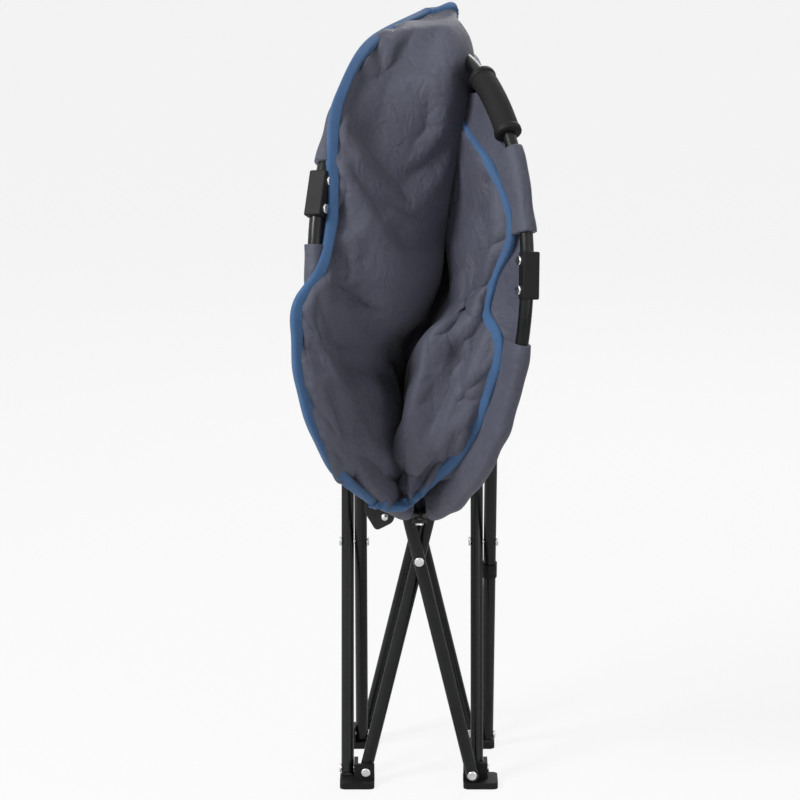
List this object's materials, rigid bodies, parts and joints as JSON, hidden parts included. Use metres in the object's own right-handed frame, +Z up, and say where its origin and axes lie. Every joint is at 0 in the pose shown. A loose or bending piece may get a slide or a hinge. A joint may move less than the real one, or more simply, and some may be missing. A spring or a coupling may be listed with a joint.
{
  "type": "folding saucer chair",
  "caption": "Folding saucer chair, folded upright: padded shell seat in a hinged oval ring on crossed black legs with corner feet.",
  "frame": {"origin": "centre of the folded chair's outer box, on the floor under its feet", "axes": "+Z up, -Y towards the chair's front, +X towards the right as seen from the front"},
  "size_m": [0.2752, 0.4104, 0.9554],
  "materials": {
    "black_tube": "black powder coat, satin",
    "black_plate": "black powder coat on pressed steel",
    "black_plastic": "moulded black nylon, fine texture",
    "black_foam": "black closed-cell foam sleeve",
    "bright_steel": "zinc plated rivets and pins",
    "grey_fabric": "slate grey woven polyester, padded",
    "blue_tape": "blue woven binding tape at the pad's rim"
  },
  "bodies": {
    "foot_front_left": {"foot_front_left": "black_plastic", "foot_rivets_front_left": "bright_steel"},
    "foot_front_right": {"foot_front_right": "black_plastic", "foot_rivets_front_right": "bright_steel"},
    "foot_back_right": {"foot_back_right": "black_plastic", "foot_rivets_back_right": "bright_steel"},
    "foot_back_left": {"foot_back_left": "black_plastic", "foot_rivets_back_left": "bright_steel"},
    "leg_front_inner": {"leg_front_inner": "black_tube"},
    "leg_front_outer": {"leg_front_outer": "black_tube", "crossing_rivet_front": "bright_steel"},
    "leg_right_inner": {"leg_right_inner": "black_tube"},
    "leg_right_outer": {"leg_right_outer": "black_tube", "crossing_rivet_right": "bright_steel", "leg_collar": "black_plastic"},
    "leg_back_inner": {"leg_back_inner": "black_tube"},
    "leg_back_outer": {"leg_back_outer": "black_tube", "crossing_rivet_back": "bright_steel"},
    "leg_left_inner": {"leg_left_inner": "black_tube"},
    "leg_left_outer": {"leg_left_outer": "black_tube", "crossing_rivet_left": "bright_steel"},
    "hub_front_left": {"hub_front_left": "black_plastic", "hub_rivets_front_left": "bright_steel"},
    "hub_front_right": {"hub_front_right": "black_plastic", "hub_rivets_front_right": "bright_steel"},
    "hub_back_right": {"hub_back_right": "black_plastic", "hub_rivets_back_right": "bright_steel"},
    "hub_back_left": {"hub_back_left": "black_plastic", "hub_rivets_back_left": "bright_steel"},
    "seat_strut": {"seat_strut": "black_plate", "tilt_pin": "bright_steel"},
    "seat_rail": {"seat_rail": "black_plate", "front_hinge_pin": "bright_steel"},
    "left_half": {"front_knuckle_left": "black_plate", "ring_tube_front_left": "black_tube", "side_block_left": "black_plastic", "side_block_rivets_left": "bright_steel", "ring_tube_back_left": "black_tube", "grip_left": "black_foam", "back_knuckle_left": "black_plate", "back_hinge_pin": "bright_steel", "pad_left": "grey_fabric"},
    "right_half": {"front_knuckle_right": "black_plate", "ring_tube_front_right": "black_tube", "side_block_right": "black_plastic", "side_block_rivets_right": "bright_steel", "ring_tube_back_right": "black_tube", "grip_right": "black_foam", "back_knuckle_right": "black_plate", "pad_right": "grey_fabric"}
  },
  "joints": [
    {"name": "fold", "type": "hinge", "parent": "foot_front_left", "child": "leg_front_inner", "pos_m": [-0.06901, 0.02917, 0.018], "axis": [0, 1, 0], "range_deg": [0, 34.5]},
    {"name": "front_crossing", "type": "hinge", "parent": "leg_front_inner", "child": "leg_front_outer", "pos_m": [-0.00131, 0.02077, 0.29999], "axis": [0, 1, 0], "range_deg": [-69.01, 0.01]},
    {"name": "front_right_foot_pivot", "type": "hinge", "parent": "leg_front_outer", "child": "foot_front_right", "pos_m": [0.06639, 0.01237, 0.018], "axis": [0, 1, 0], "range_deg": [-0.01, 34.51]},
    {"name": "front_left_hub_pivot", "type": "hinge", "parent": "leg_front_outer", "child": "hub_front_left", "pos_m": [-0.06901, 0.01237, 0.58197], "axis": [0, 1, 0], "range_deg": [-0.01, 34.51]},
    {"name": "left_outer_foot_pivot", "type": "hinge", "parent": "foot_front_left", "child": "leg_left_outer", "pos_m": [-0.09241, 0.03577, 0.018], "axis": [1, 0, 0], "range_deg": [-34.51, 0.01]},
    {"name": "left_crossing", "type": "hinge", "parent": "leg_left_outer", "child": "leg_left_inner", "pos_m": [-0.08401, 0.10347, 0.29999], "axis": [1, 0, 0], "range_deg": [-0.01, 69.01]},
    {"name": "back_left_foot_pivot", "type": "hinge", "parent": "leg_left_inner", "child": "foot_back_left", "pos_m": [-0.07561, 0.17117, 0.018], "axis": [1, 0, 0], "range_deg": [-34.51, 0.01]},
    {"name": "back_left_hub_pivot", "type": "hinge", "parent": "leg_left_outer", "child": "hub_back_left", "pos_m": [-0.09241, 0.17117, 0.58197], "axis": [1, 0, 0], "range_deg": [-0.01, 34.51]},
    {"name": "right_inner_foot_pivot", "type": "hinge", "parent": "foot_front_right", "child": "leg_right_inner", "pos_m": [0.07299, 0.03577, 0.018], "axis": [-1, 0, 0], "range_deg": [-0.01, 34.51]},
    {"name": "right_crossing", "type": "hinge", "parent": "leg_right_inner", "child": "leg_right_outer", "pos_m": [0.08139, 0.10347, 0.29999], "axis": [-1, 0, 0], "range_deg": [-69.01, 0.01]},
    {"name": "back_right_hub_pivot", "type": "hinge", "parent": "leg_right_inner", "child": "hub_back_right", "pos_m": [0.07299, 0.17117, 0.58197], "axis": [-1, 0, 0], "range_deg": [-34.51, 0.01]},
    {"name": "front_right_hub_pivot", "type": "hinge", "parent": "leg_right_outer", "child": "hub_front_right", "pos_m": [0.08979, 0.03577, 0.58197], "axis": [-1, 0, 0], "range_deg": [-0.01, 34.51]},
    {"name": "back_right_foot_pivot", "type": "hinge", "parent": "leg_right_outer", "child": "foot_back_right", "pos_m": [0.08979, 0.17117, 0.018], "axis": [-1, 0, 0], "range_deg": [-0.01, 34.51]},
    {"name": "back_inner_foot_pivot", "type": "hinge", "parent": "foot_back_right", "child": "leg_back_inner", "pos_m": [0.06639, 0.17777, 0.018], "axis": [0, -1, 0], "range_deg": [-0.01, 34.51]},
    {"name": "back_crossing", "type": "hinge", "parent": "leg_back_inner", "child": "leg_back_outer", "pos_m": [-0.00131, 0.18617, 0.29999], "axis": [0, -1, 0], "range_deg": [-69.01, 0.01]},
    {"name": "strut_pivot", "type": "hinge", "parent": "leg_front_outer", "child": "seat_strut", "pos_m": [-0.00131, 0.02077, 0.29999], "axis": [0, 1, 0], "range_deg": [-0.01, 34.51]},
    {"name": "seat_tilt", "type": "hinge", "parent": "seat_strut", "child": "seat_rail", "pos_m": [-0.00131, 0.043, 0.4938], "axis": [1, 0, 0], "range_deg": [-42.01, 0.01]},
    {"name": "left_half_hinge", "type": "hinge", "parent": "seat_rail", "child": "left_half", "pos_m": [-0.00131, -0.02653, 0.372], "axis": [0, 0.2419, 0.9703], "range_deg": [-44.01, 0.01]},
    {"name": "right_half_hinge", "type": "hinge", "parent": "left_half", "child": "right_half", "pos_m": [-0.00131, -0.02653, 0.372], "axis": [0, 0.2419, 0.9703], "range_deg": [-0.01, 88.01]}
  ],
  "couplings": [
    {"joint": "front_crossing", "follows": "fold", "ratio": -2},
    {"joint": "front_right_foot_pivot", "follows": "fold", "ratio": 1},
    {"joint": "front_left_hub_pivot", "follows": "fold", "ratio": 1},
    {"joint": "left_outer_foot_pivot", "follows": "fold", "ratio": -1},
    {"joint": "left_crossing", "follows": "fold", "ratio": 2},
    {"joint": "back_left_foot_pivot", "follows": "fold", "ratio": -1},
    {"joint": "back_left_hub_pivot", "follows": "fold", "ratio": 1},
    {"joint": "right_inner_foot_pivot", "follows": "fold", "ratio": 1},
    {"joint": "right_crossing", "follows": "fold", "ratio": -2},
    {"joint": "back_right_hub_pivot", "follows": "fold", "ratio": -1},
    {"joint": "front_right_hub_pivot", "follows": "fold", "ratio": 1},
    {"joint": "back_right_foot_pivot", "follows": "fold", "ratio": 1},
    {"joint": "back_inner_foot_pivot", "follows": "fold", "ratio": 1},
    {"joint": "back_crossing", "follows": "fold", "ratio": -2},
    {"joint": "strut_pivot", "follows": "fold", "ratio": 1},
    {"joint": "seat_tilt", "follows": "fold", "ratio": -1.2174},
    {"joint": "left_half_hinge", "follows": "fold", "ratio": -1.2754},
    {"joint": "right_half_hinge", "follows": "fold", "ratio": 2.5507}
  ]
}
